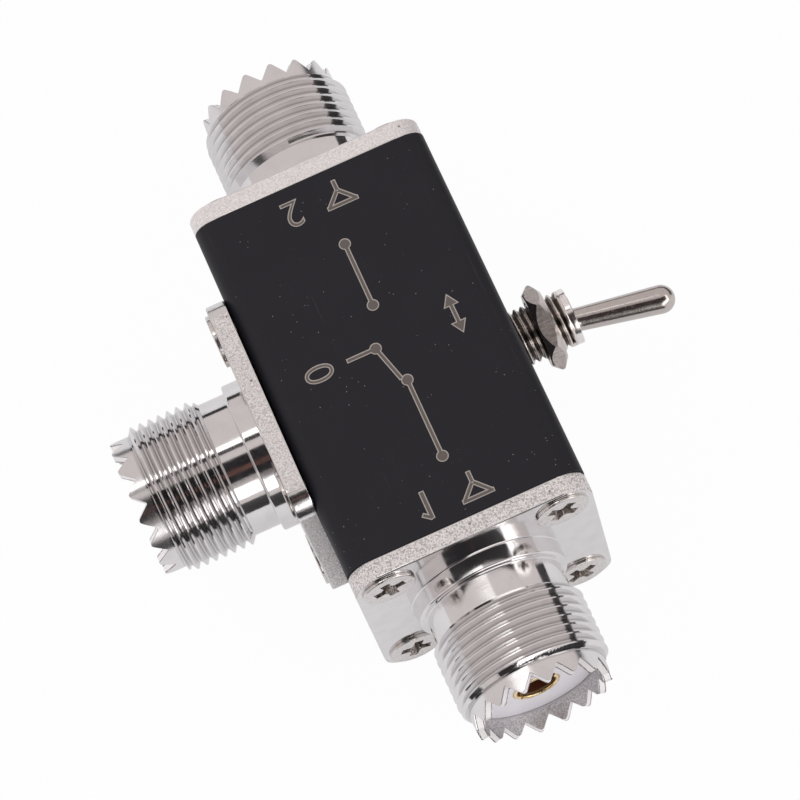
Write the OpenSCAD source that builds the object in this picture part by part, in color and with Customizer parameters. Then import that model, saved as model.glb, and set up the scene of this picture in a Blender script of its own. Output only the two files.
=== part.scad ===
// Two-way coaxial antenna switch.
// A square aluminium housing carries three coaxial sockets and one toggle switch.
// The origin is the centre of the housing's bottom face, and +Z points up to its top face.
// The first antenna socket points along +X and the second along -X.
// The transceiver socket points along -Y, and the toggle switch stands out along +Y.
// All sizes are in millimetres. The lever is drawn where it leans to the first antenna socket.

/* [Housing] */
// Length of the housing from one antenna flange to the other
housing_length = 40; // [38:0.5:60]
// Width and height of the square section
housing_side = 25; // [24.8:0.1:27]
// Radius of the four long edges
housing_edge = 2; // [0.5:0.25:2.5]
// Diameter of the bore that runs through the housing
housing_bore = 21; // [20.8:0.05:21.2]

/* [Socket flange] */
// Side of the square flange
flange_side = 25; // [24.8:0.1:27]
// Thickness of the flange
flange_thickness = 2; // [1.6:0.1:2.5]
// Radius of the flange's corners
flange_corner = 2.75; // [1:0.25:3]
// Spacing of the four screws along each side
screw_spacing = 18.3; // [18:0.05:18.6]
// Diameter of the boss behind the flange
boss_diameter = 12; // [11.6:0.1:12.4]
// Length of the boss behind the flange
boss_length = 3; // [2.5:0.1:3.4]

/* [Socket barrel] */
// Diameter of the plain collar on the flange
collar_diameter = 15.8; // [15.4:0.1:16.2]
// Height of the plain collar
collar_height = 1.9; // [1.5:0.1:2.2]
// Diameter of the neck between the collar and the thread
neck_diameter = 14.3; // [14:0.1:14.8]
// Height at which the neck starts to widen to the thread
neck_end = 4.7; // [4.2:0.1:5]
// Diameter over the crests of the thread
thread_diameter = 15.8; // [15.6:0.05:16]
// Height at which the thread reaches its full diameter
thread_start = 5.3; // [5.2:0.1:5.6]
// Height at which the thread ends
thread_end = 11.9; // [11.4:0.1:12]
// Diameter of the barrel's front edge, past its chamfer
rim_diameter = 15.1; // [14.9:0.1:15.3]
// Height of the barrel's front edge, where the crown starts
rim_height = 12.3; // [12.2:0.05:12.4]

/* [Socket crown] */
// Outer diameter of the toothed crown
crown_diameter = 14.3; // [14.2:0.05:14.6]
// Height of the plain ring under the teeth
crown_ring = 0.7; // [0.3:0.1:1]
// Height of the teeth
tooth_height = 1.5; // [1.3:0.1:2]
// Number of teeth
tooth_count = 16; // [12:1:20]
// Radius of each tooth's rounded tip
tooth_tip = 0.35; // [0.25:0.05:0.45]
// Angle by which the crown is turned on its flange
crown_turn = 12.6; // [0:0.1:30]

/* [Socket insulator and contact] */
// Diameter of the insulator in the barrel
insulator_diameter = 12.5; // [12.2:0.05:12.6]
// Depth of the insulator's shoulder, measured from the flange's outer face
insulator_shoulder = 3; // [2.5:0.1:4]
// Diameter of the insulator in the boss
insulator_tail = 10; // [9:0.1:10.4]
// Length of insulator that stands out behind the boss
insulator_overhang = 1.5; // [1:0.1:2]
// Outer diameter of the centre contact
contact_diameter = 5; // [4.8:0.05:5.2]
// Bore of the centre contact
contact_bore = 4; // [3.9:0.05:4.1]
// Depth of the centre contact's bore
contact_depth = 10; // [8:0.5:11]
// Outer diameter of the solder cup behind the contact
cup_diameter = 3.2; // [3:0.1:3.4]
// Inner diameter of the solder cup
cup_bore = 2; // [1.8:0.1:2.2]
// Length of the solder cup
cup_length = 2.5; // [2:0.1:2.5]

/* [Flange screws] */
// Thread diameter of the flange screws
screw_diameter = 3; // [2.8:0.1:3]
// Overall length of a flange screw
screw_length = 6; // [5.5:0.5:6]
// Diameter of the countersunk head
head_diameter = 5.5; // [5.3:0.1:5.6]
// Height of the head's straight rim
head_rim = 0.25; // [0.15:0.05:0.3]
// Height by which the head stands out of the flange
head_proud = 0.4; // [0.3:0.05:0.6]
// Diameter of the clearance hole in the flange
flange_hole = 3.2; // [3.1:0.05:3.3]
// Span of the cross recess
recess_span = 3.4; // [2.6:0.1:3.6]
// Width of each arm of the cross recess
recess_width = 0.9; // [0.5:0.05:1]
// Depth of the cross recess
recess_depth = 1.1; // [0.8:0.1:1.2]

/* [Toggle bushing and nut] */
// Diameter over the thread of the toggle's bushing
bushing_diameter = 5.9; // [5.8:0.05:6]
// Height of the bushing above the housing's wall
bushing_reach = 6.5; // [6:0.1:7]
// Length of the plain ring at the bushing's end
bushing_ring = 0.6; // [0.4:0.1:0.8]
// Diameter of the plain ring at the bushing's end
bushing_ring_diameter = 5.4; // [5.2:0.1:5.6]
// Diameter of the bushing's mouth
mouth_diameter = 4.2; // [4.1:0.05:4.3]
// Width across the flats of the hexagon nut
nut_flats = 8; // [7.5:0.1:8.5]
// Thickness of the hexagon nut
nut_thickness = 1.8; // [1.5:0.1:2]
// Gap between the housing's wall and the nut
nut_gap = 2.5; // [0:0.1:3]
// Angle by which the nut is turned on the bushing
nut_turn = 21.5; // [0:0.5:60]
// Width by which the bevel cuts into the nut's faces, inside the flats
nut_bevel = 0.35; // [0.1:0.05:0.5]
// Angle of the bevel from the nut's faces
nut_bevel_angle = 37; // [30:1:38]

/* [Toggle lever] */
// Angle by which the lever leans to either side
lever_lean = 11.4; // [10.5:0.1:11.6]
// Depth of the lever's pivot below the bushing's end
pivot_depth = 3; // [2.9:0.05:3.1]
// Length of the lever from its pivot to its tip
lever_length = 13.35; // [12:0.05:16]
// Diameter of the lever where it leaves the bushing
lever_neck = 2.4; // [2.2:0.05:2.5]
// Diameter of the lever near its tip
lever_head = 2.95; // [2.8:0.05:3.2]
// Diameter of the ball that the lever turns on
ball_diameter = 3.6; // [3.5:0.05:3.6]
// Running clearance around the ball
ball_clearance = 0.05; // [0.02:0.01:0.08]
// Diameter of the lever's tail inside the switch
tail_diameter = 2; // [1.9:0.05:2]
// Length of the lever's tail below the pivot
tail_length = 7; // [6.8:0.1:7.2]
// Diameter of the cross pin through the ball
pin_diameter = 0.8; // [0.7:0.05:0.9]
// Length of the cross pin
pin_length = 4.2; // [4:0.1:4.3]

/* [Switch mechanism] */
// Length of the switch case along the housing
case_length = 12.4; // [12.2:0.1:12.6]
// Width of the switch case across the housing
case_width = 7.4; // [7.2:0.1:7.6]
// Height of the switch case
case_height = 8.9; // [8.8:0.05:9]
// Thickness of the case's long walls
case_wall = 1; // [0.8:0.05:1.05]
// Thickness of the case's end walls
case_end_wall = 0.5; // [0.4:0.05:0.55]
// Thickness of the sheet steel frame over the case
frame_sheet = 0.5; // [0.4:0.05:0.5]
// Spacing of the three terminals
terminal_spacing = 4.7; // [4.6:0.05:4.75]
// Width of each terminal
terminal_width = 1.6; // [1.4:0.1:1.7]
// Thickness of each terminal
terminal_thickness = 0.8; // [0.6:0.05:0.9]
// Length of the terminals below the case
terminal_length = 4.1; // [3.8:0.1:4.2]
// Angle by which the rocking contact tips to either side
rocker_tip = 8; // [7:0.25:8]
// Thickness of the rocking contact
rocker_sheet = 0.25; // [0.2:0.05:0.3]
// Diameter of the wire of the plunger's spring
spring_wire = 0.2; // [0.15:0.01:0.22]

/* [Wiring] */
// Diameter of the tinned connecting wires
wire_diameter = 0.8; // [0.7:0.05:0.9]
// Radius of the solder on each terminal
solder_radius = 0.9; // [0.85:0.05:1]

/* [Hidden] */
$fn = 48;
cut = 1;
mid_z = housing_side / 2;
wall_y = housing_side / 2;

// Each socket's own frame has its origin on the flange's outer face and +Z outwards.
tx_place = [[0, -wall_y - flange_thickness, mid_z], [90, 0, 0]];
ant1_place = [[housing_length / 2 + flange_thickness, 0, mid_z], [0, 90, 0]];
ant2_place = [[-housing_length / 2 - flange_thickness, 0, mid_z], [0, -90, 0]];

// Heights in the socket's frame
boss_end = -flange_thickness - boss_length;
insulator_end = boss_end - insulator_overhang;
cup_end = insulator_end - cup_length;
crown_top = rim_height + crown_ring + tooth_height;
tapped_end = -flange_thickness - 4;
boss_clearance = 0.1;
edge_break = 0.2;

// Heights in the toggle's frame, measured along +Y from the housing's centre
frame_top = 9.6;
frame_bottom = frame_top - frame_sheet;
bushing_end = wall_y + bushing_reach;
bushing_foot = [7, 0.8, 5.2];
foot_bottom = frame_bottom - bushing_foot[1];
pivot_y = bushing_end - pivot_depth;
case_bottom = frame_bottom - case_height;
case_floor = 1;
slot_margin = 0.13;
pin_margin = 0.05;
seat_radius = ball_diameter / 2 + ball_clearance;
seat_opening = 1.6;
seat_top = sqrt(pow(seat_radius, 2) - pow(seat_opening, 2));

// The plunger slides in the lever's tail, on its spring.
plunger_bore = 1.24;
plunger_bore_top = -2.2;
plunger_stem = 1.1;
plunger_stem_top = -5.6;
plunger_head = 1.5;
plunger_head_top = -7.6;
plunger_tip = -11.2;
spring_pitch = 0.75;
spring_radius = plunger_bore / 2 - spring_wire / 2 - 0.04;

// The rocking contact turns on the rounded top of the common terminal.
rocker_y = 3.9;
edge_radius = 0.3;
rocker_gap = 0.05;
rocker_arm = 5.1;
rocker_width = 3.4;
button_radius = 0.6;
button_height = 0.2;
contact_gap = 0.03;
fixed_button = [0.7, 0.25];
anvil_width = 3;
anvil_bottom = 2.6;
lug_hole = 0.8;
fixed_top = rocker_y + edge_radius - button_height - contact_gap;
terminal_end = case_bottom - terminal_length;

// Routes of the connecting wires, from the contact's solder cup to the terminal
solder_film = 0.05;
wire_z = mid_z + (terminal_thickness + wire_diameter) / 2 + solder_film;
solder_y = terminal_end + 1.2;
cup_depth = 2;
bend_swell = 1.1;
tx_cup_y = -wall_y - flange_thickness - cup_end;
ant_cup_x = housing_length / 2 + flange_thickness + cup_end;
tx_route = [[0, tx_cup_y - cup_depth, mid_z], [0, tx_cup_y + 0.2, mid_z],
    [0, terminal_end - 0.3, wire_z], [0, solder_y + 1, wire_z]];
ant_route = [[ant_cup_x + cup_depth, 0, mid_z], [ant_cup_x - 0.4, 0, mid_z],
    [terminal_spacing + 2.4, solder_y, wire_z], [terminal_spacing - 1, solder_y, wire_z]];

// A square with round corners, centred on the origin
module rounded_square(side, corner) {
    inner = side - 2 * corner;
    square([side, inner], center = true);
    square([inner, side], center = true);
    for (x = [-1, 1], y = [-1, 1])
        translate([x * inner / 2, y * inner / 2]) circle(r = corner);
}

// A bar of round wire along a list of points, with a slightly fuller ball at each bend
module bent_wire(points, diameter) {
    last = len(points) - 1;
    for (i = [1 : last]) {
        step = points[i] - points[i - 1];
        translate(points[i - 1])
            rotate([0, acos(step[2] / norm(step)), atan2(step[1], step[0])]) {
                cylinder(h = norm(step), d = diameter);
                if (i < last)
                    translate([0, 0, norm(step)]) sphere(d = bend_swell * diameter);
            }
    }
}

module at_socket(place) {
    translate(place[0]) rotate(place[1]) children();
}

module at_screws() {
    for (x = [-1, 1], y = [-1, 1])
        translate([x * screw_spacing / 2, y * screw_spacing / 2, 0]) children();
}

// The toggle's axis: +Z of the children points out of the housing's wall, along +Y.
module along_toggle(y) {
    translate([0, y, mid_z]) rotate([-90, 0, 0]) children();
}

// The lever's axis: +Z of the children points from the pivot to the lever's tip.
module along_lever() {
    translate([0, pivot_y, mid_z]) rotate([0, 0, -lever_lean]) rotate([-90, 0, 0]) children();
}

// A box centred on x = 0 and on the toggle's height, from y = low to y = high
module centred_box(length, low, high, width) {
    translate([-length / 2, low, mid_z - width / 2]) cube([length, high - low, width]);
}

module housing() {
    color("#262629")
    difference() {
        translate([-housing_length / 2, 0, mid_z]) rotate([0, 90, 0])
            linear_extrude(housing_length) rounded_square(housing_side, housing_edge);
        translate([-housing_length / 2 - cut, 0, mid_z]) rotate([0, 90, 0])
            cylinder(h = housing_length + 2 * cut, d = housing_bore);
        at_socket(tx_place) translate([0, 0, -flange_thickness - mid_z])
            cylinder(h = mid_z + cut, d = boss_diameter + 2 * boss_clearance);
        along_toggle(0) cylinder(h = wall_y + cut, d = bushing_diameter);
        for (place = [tx_place, ant1_place, ant2_place])
            at_socket(place) at_screws() translate([0, 0, tapped_end])
                cylinder(h = -tapped_end, d = screw_diameter);
    }
}

// Half outline of the barrel with its collar, neck, thread, rim and crown
module barrel_outline() {
    polygon([
        [insulator_tail / 2, boss_end],
        [boss_diameter / 2, boss_end],
        [boss_diameter / 2, -flange_thickness / 2],
        [collar_diameter / 2, -flange_thickness / 2],
        [collar_diameter / 2, collar_height - edge_break],
        [collar_diameter / 2 - edge_break, collar_height],
        [neck_diameter / 2, collar_height],
        [neck_diameter / 2, neck_end],
        [thread_diameter / 2, thread_start],
        [thread_diameter / 2, thread_end],
        [rim_diameter / 2, rim_height],
        [crown_diameter / 2, rim_height],
        [crown_diameter / 2, crown_top],
        [insulator_diameter / 2, crown_top],
        [insulator_diameter / 2, insulator_shoulder],
        [insulator_tail / 2, insulator_shoulder]]);
}

// One tooth of the crown: straight flanks that run tangent into a round tip.
// The flanks go on below the root, where each tooth runs into the next.
module tooth_outline() {
    half_root = crown_diameter / 2 * sin(180 / tooth_count);
    tip_y = tooth_height - tooth_tip;
    slope = atan2(tip_y, -half_root) - asin(tooth_tip / norm([half_root, tip_y]));
    spread = half_root - crown_ring / tan(slope);
    start = slope - 90;
    sweep = 180 - 2 * start;
    steps = 8;
    polygon(concat([[-spread, -crown_ring], [spread, -crown_ring]],
        [for (i = [0 : steps]) let (a = start + sweep * i / steps)
            [tooth_tip * cos(a), tip_y + tooth_tip * sin(a)]]));
}

// All that is cut out of the crown: a ring of metal less the teeth
module crown_notches() {
    low = -crown_ring / 2;
    inner = insulator_diameter / 2 - cut;
    outer = crown_diameter / 2 + cut;
    difference() {
        translate([0, 0, low]) cylinder(h = tooth_height + cut - low, r = outer);
        translate([0, 0, low - cut]) cylinder(h = tooth_height + 3 * cut - low, r = inner);
        for (i = [1 : tooth_count])
            rotate(crown_turn + i * 360 / tooth_count) translate([inner - cut, 0, 0])
                rotate([90, 0, 90]) linear_extrude(outer - inner + 2 * cut) tooth_outline();
    }
}

module socket_body() {
    color("#c9c6c0")
    difference() {
        union() {
            translate([0, 0, -flange_thickness])
                linear_extrude(flange_thickness) rounded_square(flange_side, flange_corner);
            rotate_extrude() barrel_outline();
        }
        translate([0, 0, boss_end - cut])
            cylinder(h = insulator_shoulder - boss_end + cut, d = insulator_tail);
        at_screws() {
            translate([0, 0, -flange_thickness - cut])
                cylinder(h = flange_thickness + 2 * cut, d = flange_hole);
            screw_head();
        }
        translate([0, 0, rim_height + crown_ring]) crown_notches();
    }
}

module socket_insulator() {
    color("#eeeff4")
    rotate_extrude() polygon([
        [contact_diameter / 2, insulator_end],
        [insulator_tail / 2, insulator_end],
        [insulator_tail / 2, insulator_shoulder],
        [insulator_diameter / 2, insulator_shoulder],
        [insulator_diameter / 2, rim_height],
        [contact_diameter / 2, rim_height]]);
}

module socket_contact() {
    face = rim_height + 0.1;
    color("#d9b75a")
    rotate_extrude() polygon([
        [0, insulator_end],
        [cup_bore / 2, insulator_end],
        [cup_bore / 2, cup_end],
        [cup_diameter / 2, cup_end],
        [cup_diameter / 2, insulator_end],
        [contact_diameter / 2, insulator_end],
        [contact_diameter / 2, face - edge_break],
        [contact_diameter / 2 - edge_break, face],
        [contact_bore / 2, face],
        [contact_bore / 2, face - contact_depth],
        [0, face - contact_depth]]);
}

// Countersunk head: a straight rim above a 90 degree cone
module screw_head() {
    rim_bottom = head_proud - head_rim;
    cone = (head_diameter - screw_diameter) / 2;
    translate([0, 0, rim_bottom]) cylinder(h = head_rim, d = head_diameter);
    translate([0, 0, rim_bottom - cone])
        cylinder(h = cone, d1 = screw_diameter, d2 = head_diameter);
}

module cross_recess() {
    translate([0, 0, head_proud - recess_depth])
    intersection() {
        cylinder(h = recess_depth + cut, d1 = recess_width,
            d2 = recess_width + (recess_span - recess_width) * (recess_depth + cut) / recess_depth);
        union() {
            for (turn = [0, 90])
                rotate(turn) translate([-recess_span, -recess_width / 2, 0])
                    cube([2 * recess_span, recess_width, recess_depth + cut]);
        }
    }
}

// Four screws. Each cross recess stops where the driver left it.
module flange_screws(turns) {
    color("#d2cfc8")
    for (x = [0, 1], y = [0, 1])
        translate([(x - 0.5) * screw_spacing, (y - 0.5) * screw_spacing, 0])
            rotate(turns[2 * x + y])
                difference() {
                    union() {
                        screw_head();
                        translate([0, 0, head_proud - screw_length])
                            cylinder(h = screw_length - head_proud, d = screw_diameter);
                    }
                    cross_recess();
                }
}

// The slot lets the lever's tail swing from side to side and holds it upright.
module bushing_slot() {
    low = foot_bottom - cut;
    function reach(y) = (pivot_y - y) * tan(lever_lean)
        + tail_diameter / 2 / cos(lever_lean) + slot_margin;
    width = tail_diameter + 2 * slot_margin;
    translate([0, 0, mid_z - width / 2])
        linear_extrude(width)
            polygon([[-reach(low), low], [reach(low), low],
                [reach(pivot_y), pivot_y], [-reach(pivot_y), pivot_y]]);
}

module toggle_bushing() {
    color("#a8a095")
    difference() {
        union() {
            centred_box(bushing_foot[0], foot_bottom, frame_bottom, bushing_foot[2]);
            along_toggle(frame_bottom)
                cylinder(h = bushing_end - bushing_ring - frame_bottom, d = bushing_diameter);
            along_toggle(bushing_end - bushing_ring)
                cylinder(h = bushing_ring, d = bushing_ring_diameter);
        }
        along_toggle(pivot_y) {
            sphere(r = seat_radius);
            translate([0, 0, -pivot_y]) cylinder(h = pivot_y, r = seat_radius);
            translate([0, 0, seat_top])
                cylinder(h = pivot_depth - seat_top, r1 = seat_opening, d2 = mouth_diameter);
        }
        bushing_slot();
        centred_box(pin_diameter + 2 * pin_margin, foot_bottom - cut, pivot_y,
            pin_length + 2 * pin_margin);
        translate([0, pivot_y, mid_z])
            cylinder(h = pin_length + 2 * pin_margin, d = pin_diameter + 2 * pin_margin, center = true);
    }
}

module toggle_nut() {
    color("#aba398")
    along_toggle(wall_y + nut_gap)
    difference() {
        intersection() {
            rotate(nut_turn) cylinder(h = nut_thickness, d = nut_flats / cos(30), $fn = 6);
            rotate_extrude() nut_outline();
        }
        translate([0, 0, -cut]) cylinder(h = nut_thickness + 2 * cut, d = bushing_diameter);
    }
}

// Half outline that rounds off the six corners of the nut on both faces
module nut_outline() {
    face = nut_flats / 2 - nut_bevel;
    outside = nut_flats;
    drop = (outside - face) * tan(nut_bevel_angle);
    polygon([[0, 0], [face, 0], [outside, drop],
        [outside, nut_thickness - drop], [face, nut_thickness], [0, nut_thickness]]);
}

module toggle_lever() {
    shank_start = pivot_depth;
    round_y = lever_length - lever_head / 2;
    color("#bdb5aa")
    along_lever()
    difference() {
        union() {
            sphere(d = ball_diameter);
            translate([0, 0, -tail_length]) cylinder(h = tail_length, d = tail_diameter);
            cylinder(h = shank_start, d = lever_neck);
            translate([0, 0, shank_start])
                cylinder(h = round_y - shank_start, d1 = lever_neck, d2 = lever_head);
            translate([0, 0, round_y]) sphere(d = lever_head);
        }
        translate([0, 0, -tail_length - cut])
            cylinder(h = tail_length + cut + plunger_bore_top, d = plunger_bore);
        rotate([90, 0, 0]) cylinder(h = pin_length, d = pin_diameter, center = true);
    }
}

module lever_pin() {
    color("#b8b8b8")
    translate([0, pivot_y, mid_z]) cylinder(h = pin_length, d = pin_diameter, center = true);
}

module plunger() {
    color("#e6e1d2")
    along_lever() {
        translate([0, 0, plunger_tip + plunger_head / 2]) sphere(d = plunger_head);
        translate([0, 0, plunger_tip + plunger_head / 2])
            cylinder(h = plunger_head_top - plunger_tip - plunger_head / 2, d = plunger_head);
        translate([0, 0, plunger_head_top])
            cylinder(h = plunger_stem_top - plunger_head_top, d = plunger_stem);
    }
}

// Points of one ring of the spring's wire, square to the coil
function spring_ring(angle, sides) =
    let (climb = atan2(spring_pitch, 2 * PI * spring_radius),
        out = [cos(angle), sin(angle), 0],
        up = [sin(climb) * sin(angle), -sin(climb) * cos(angle), cos(climb)])
    [for (j = [0 : sides - 1])
        spring_radius * out + [0, 0, spring_pitch * angle / 360]
            + spring_wire / 2 * (cos(360 * j / sides) * out + sin(360 * j / sides) * up)];

module plunger_spring() {
    sides = 6;
    steps = 12;
    low = plunger_stem_top + spring_wire / 2;
    high = plunger_bore_top - spring_wire / 2;
    rings = floor((high - low) / spring_pitch * steps);
    points = [for (i = [0 : rings]) each spring_ring(360 * i / steps, sides)];
    skin = [for (i = [0 : rings - 1], j = [0 : sides - 1])
        let (a = i * sides + j, b = i * sides + (j + 1) % sides)
        each [[a, b, b + sides], [a, b + sides, a + sides]]];
    ends = [for (j = [1 : sides - 2])
        each [[0, j + 1, j],
            [rings * sides, rings * sides + j, rings * sides + j + 1]]];
    color("#c8c8c8")
    along_lever() translate([0, 0, low]) polyhedron(points, concat(skin, ends));
}

module switch_frame() {
    leg_width = 5;
    tab = 0.6;
    length = case_length + 2 * frame_sheet;
    color("#b9bcc0")
    difference() {
        union() {
            centred_box(length, frame_bottom, frame_top, case_width + 0.4);
            centred_box(length, case_bottom - frame_sheet, frame_top, leg_width);
        }
        centred_box(case_length, case_bottom, frame_bottom, case_width + 2 * cut);
        centred_box(case_length - 2 * tab, case_bottom - frame_sheet - cut, frame_bottom,
            case_width + 2 * cut);
        along_toggle(frame_bottom - cut)
            cylinder(h = frame_sheet + 2 * cut, d = bushing_diameter);
    }
}

module switch_case() {
    color("#2f5fa8")
    difference() {
        centred_box(case_length, case_bottom, frame_bottom, case_width);
        centred_box(case_length - 2 * case_end_wall, case_bottom + case_floor,
            frame_bottom + cut, case_width - 2 * case_wall);
        for (side = [-1, 0, 1])
            translate([side * terminal_spacing, 0, 0])
                centred_box(terminal_width, case_bottom - cut, case_bottom + case_floor + cut,
                    terminal_thickness);
    }
}

// Bent strip with two arms that slope up from a saddle on the common terminal
module rocker_contact() {
    saddle = edge_radius + rocker_sheet;
    color("#cdb98a")
    translate([0, rocker_y, mid_z]) rotate([0, 0, rocker_tip]) {
        translate([0, 0, -rocker_width / 2]) linear_extrude(rocker_width)
            difference() {
                union() {
                    for (side = [0, 1])
                        mirror([side, 0]) rotate(rocker_tip) translate([0, edge_radius])
                            square([rocker_arm, rocker_sheet]);
                    intersection() {
                        circle(r = saddle);
                        translate([-saddle, 0]) square([2 * saddle, saddle]);
                    }
                }
                circle(r = edge_radius + rocker_gap);
            }
        for (side = [0, 1])
            mirror([side, 0, 0]) rotate([0, 0, rocker_tip])
                translate([terminal_spacing, edge_radius, 0]) rotate([90, 0, 0])
                    cylinder(h = button_height, r = button_radius);
    }
}

// Flat terminal with a hole for the wire, up to the given height
module terminal_blade(top) {
    difference() {
        centred_box(terminal_width, terminal_end, top, terminal_thickness);
        translate([0, solder_y, mid_z])
            cylinder(h = terminal_thickness + 2 * cut, d = lug_hole, center = true);
    }
}

module common_terminal() {
    color("#d8d8d4") {
        terminal_blade(anvil_bottom);
        centred_box(2 * edge_radius, anvil_bottom, rocker_y, anvil_width);
        translate([0, rocker_y, mid_z]) cylinder(h = anvil_width, r = edge_radius, center = true);
    }
}

module end_terminal(side) {
    color("#d8d8d4")
    translate([side * terminal_spacing, 0, 0]) {
        terminal_blade(fixed_top - fixed_button[1]);
        along_toggle(fixed_top - fixed_button[1])
            cylinder(h = fixed_button[1], r = fixed_button[0]);
    }
}

module tx_wire() {
    color("#d5d3cf") bent_wire(tx_route, wire_diameter);
}

module ant_wire(side) {
    color("#d5d3cf") mirror([side, 0, 0]) bent_wire(ant_route, wire_diameter);
}

// Solder around the wire: a plug in the contact's cup, and a bead on the terminal
module solder(place, x) {
    color("#c4c4c2")
    difference() {
        union() {
            at_socket(place) translate([0, 0, cup_end])
                cylinder(h = cup_depth, d = cup_bore);
            translate([x, solder_y, wire_z]) sphere(r = solder_radius);
        }
        children();
        translate([x, 0, 0]) centred_box(terminal_width, terminal_end, case_bottom, terminal_thickness);
    }
}

housing();
at_socket(tx_place) socket_body();  // tx_socket_body
at_socket(ant1_place) socket_body();  // ant1_socket_body
at_socket(ant2_place) socket_body();  // ant2_socket_body
at_socket(tx_place) socket_insulator();  // tx_insulator
at_socket(ant1_place) socket_insulator();  // ant1_insulator
at_socket(ant2_place) socket_insulator();  // ant2_insulator
at_socket(tx_place) socket_contact();  // tx_contact
at_socket(ant1_place) socket_contact();  // ant1_contact
at_socket(ant2_place) socket_contact();  // ant2_contact
at_socket(tx_place) flange_screws([20, 65, 38, 5]);  // tx_screws
at_socket(ant1_place) flange_screws([12, 50, 70, 33]);  // ant1_screws
at_socket(ant2_place) flange_screws([42, 8, 25, 58]);  // ant2_screws
toggle_bushing();
toggle_nut();
toggle_lever();
lever_pin();
plunger();
plunger_spring();
switch_frame();
switch_case();
rocker_contact();
common_terminal();
end_terminal(1);  // ant1_terminal
end_terminal(-1);  // ant2_terminal
tx_wire();
ant_wire(0);  // ant1_wire
ant_wire(1);  // ant2_wire
solder(tx_place, 0) tx_wire();  // tx_solder
solder(ant1_place, terminal_spacing) ant_wire(0);  // ant1_solder
solder(ant2_place, -terminal_spacing) ant_wire(1);  // ant2_solder
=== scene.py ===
# %% [markdown]
# # A two-way coaxial antenna switch
# The object is a black anodised aluminium block with three nickel-plated coaxial sockets
# and one miniature toggle switch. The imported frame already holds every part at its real
# size and place, in metres. This lesson dresses that frame: it models the pieces that show
# again with finer detail, such as real threads, and gives every surface a finish.

import math

import bpy
from mathutils import Matrix, Vector


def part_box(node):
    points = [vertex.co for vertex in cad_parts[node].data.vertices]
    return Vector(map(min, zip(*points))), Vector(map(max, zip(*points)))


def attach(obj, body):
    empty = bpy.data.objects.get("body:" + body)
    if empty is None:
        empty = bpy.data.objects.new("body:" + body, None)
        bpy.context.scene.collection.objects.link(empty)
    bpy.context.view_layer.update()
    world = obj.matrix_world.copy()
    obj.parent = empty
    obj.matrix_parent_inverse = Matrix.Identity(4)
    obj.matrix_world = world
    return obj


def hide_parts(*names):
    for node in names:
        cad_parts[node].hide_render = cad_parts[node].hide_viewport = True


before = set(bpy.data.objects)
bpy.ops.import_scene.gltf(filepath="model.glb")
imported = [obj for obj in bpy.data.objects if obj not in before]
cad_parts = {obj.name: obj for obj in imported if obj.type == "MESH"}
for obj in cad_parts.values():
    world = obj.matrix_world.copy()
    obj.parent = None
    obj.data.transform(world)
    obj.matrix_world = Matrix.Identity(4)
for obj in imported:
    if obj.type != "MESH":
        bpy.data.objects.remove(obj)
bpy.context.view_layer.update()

# %% [markdown]
# ## Driving sizes
# All sizes are written in millimetres and turned into metres once, where a piece is placed.
# The frame's own box gives the housing, so nothing here can drift away from the parts that
# carry it. The three sockets are one part in three places, each given by one matrix, and
# the toggle has its own: +Z points out of the socket or along the toggle's bushing. The
# radii and heights of the socket and the bushing stand here too, because their finishes
# change at them.

# %% Driving sizes and the places of the sockets and the toggle
MM = 0.001
QUARTER = math.pi / 2
low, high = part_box("housing")
HOUSING_LENGTH = (high.x - low.x) / MM
HOUSING_SIDE = (high.z - low.z) / MM
WALL = MID_Z = HOUSING_SIDE / 2
FLANGE_THICKNESS, FLANGE_CORNER, SCREW_SPACING = 2.0, 2.75, 18.3
THREAD, NECK, COLLAR, BUSHING = 7.9, 7.15, 8.06, 2.95
BORE, TAIL_BORE, CONTACT, PIN_BORE = 6.25, 5.0, 2.5, 2.0
TAIL_END, SHOULDER, THREAD_START, RIM, CROWN_ROOT, CROWN_TOP = -6.5, 3.0, 4.9, 12.3, 13.0, 14.5
SCREW_PLACES = [(x, y) for x in (-SCREW_SPACING / 2, SCREW_SPACING / 2)
                for y in (-SCREW_SPACING / 2, SCREW_SPACING / 2)]


def at(x, y, z=0.0, turn=0.0, axis="Z"):
    """The matrix that turns a piece about an axis and then moves it to a place."""
    return Matrix.Translation((x, y, z)) @ Matrix.Rotation(turn, 4, axis)


SOCKETS = {
    "tx": at(0, -WALL - FLANGE_THICKNESS, MID_Z, QUARTER, "X"),
    "ant1": at(HOUSING_LENGTH / 2 + FLANGE_THICKNESS, 0, MID_Z, QUARTER, "Y"),
    "ant2": at(-HOUSING_LENGTH / 2 - FLANGE_THICKNESS, 0, MID_Z, -QUARTER, "Y"),
}
TOGGLE = at(0, 0, MID_Z, -QUARTER, "X")
UPRIGHT = Matrix.Identity(4)
print("housing", HOUSING_LENGTH, "x", HOUSING_SIDE, "mm")

# %% [markdown]
# ## Camera
# The view is from high above the housing's marked face, turned so that the block runs
# from the upper left to the lower right. A long lens gives the flat perspective of a
# small product photograph. The camera is built from the angle that it looks from, the
# point that it looks at and its roll, because those are what a photographer sets.

# %% Camera
LOOK_AZIMUTH, LOOK_ELEVATION, LOOK_ROLL = (math.radians(a) for a in (-3.109, 66.938, -21.282))
LOOK_AT, LOOK_DISTANCE = Vector((0.733, -0.438, MID_Z)), 392.42
LENS, SENSOR = 175.403, 36.0

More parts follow.
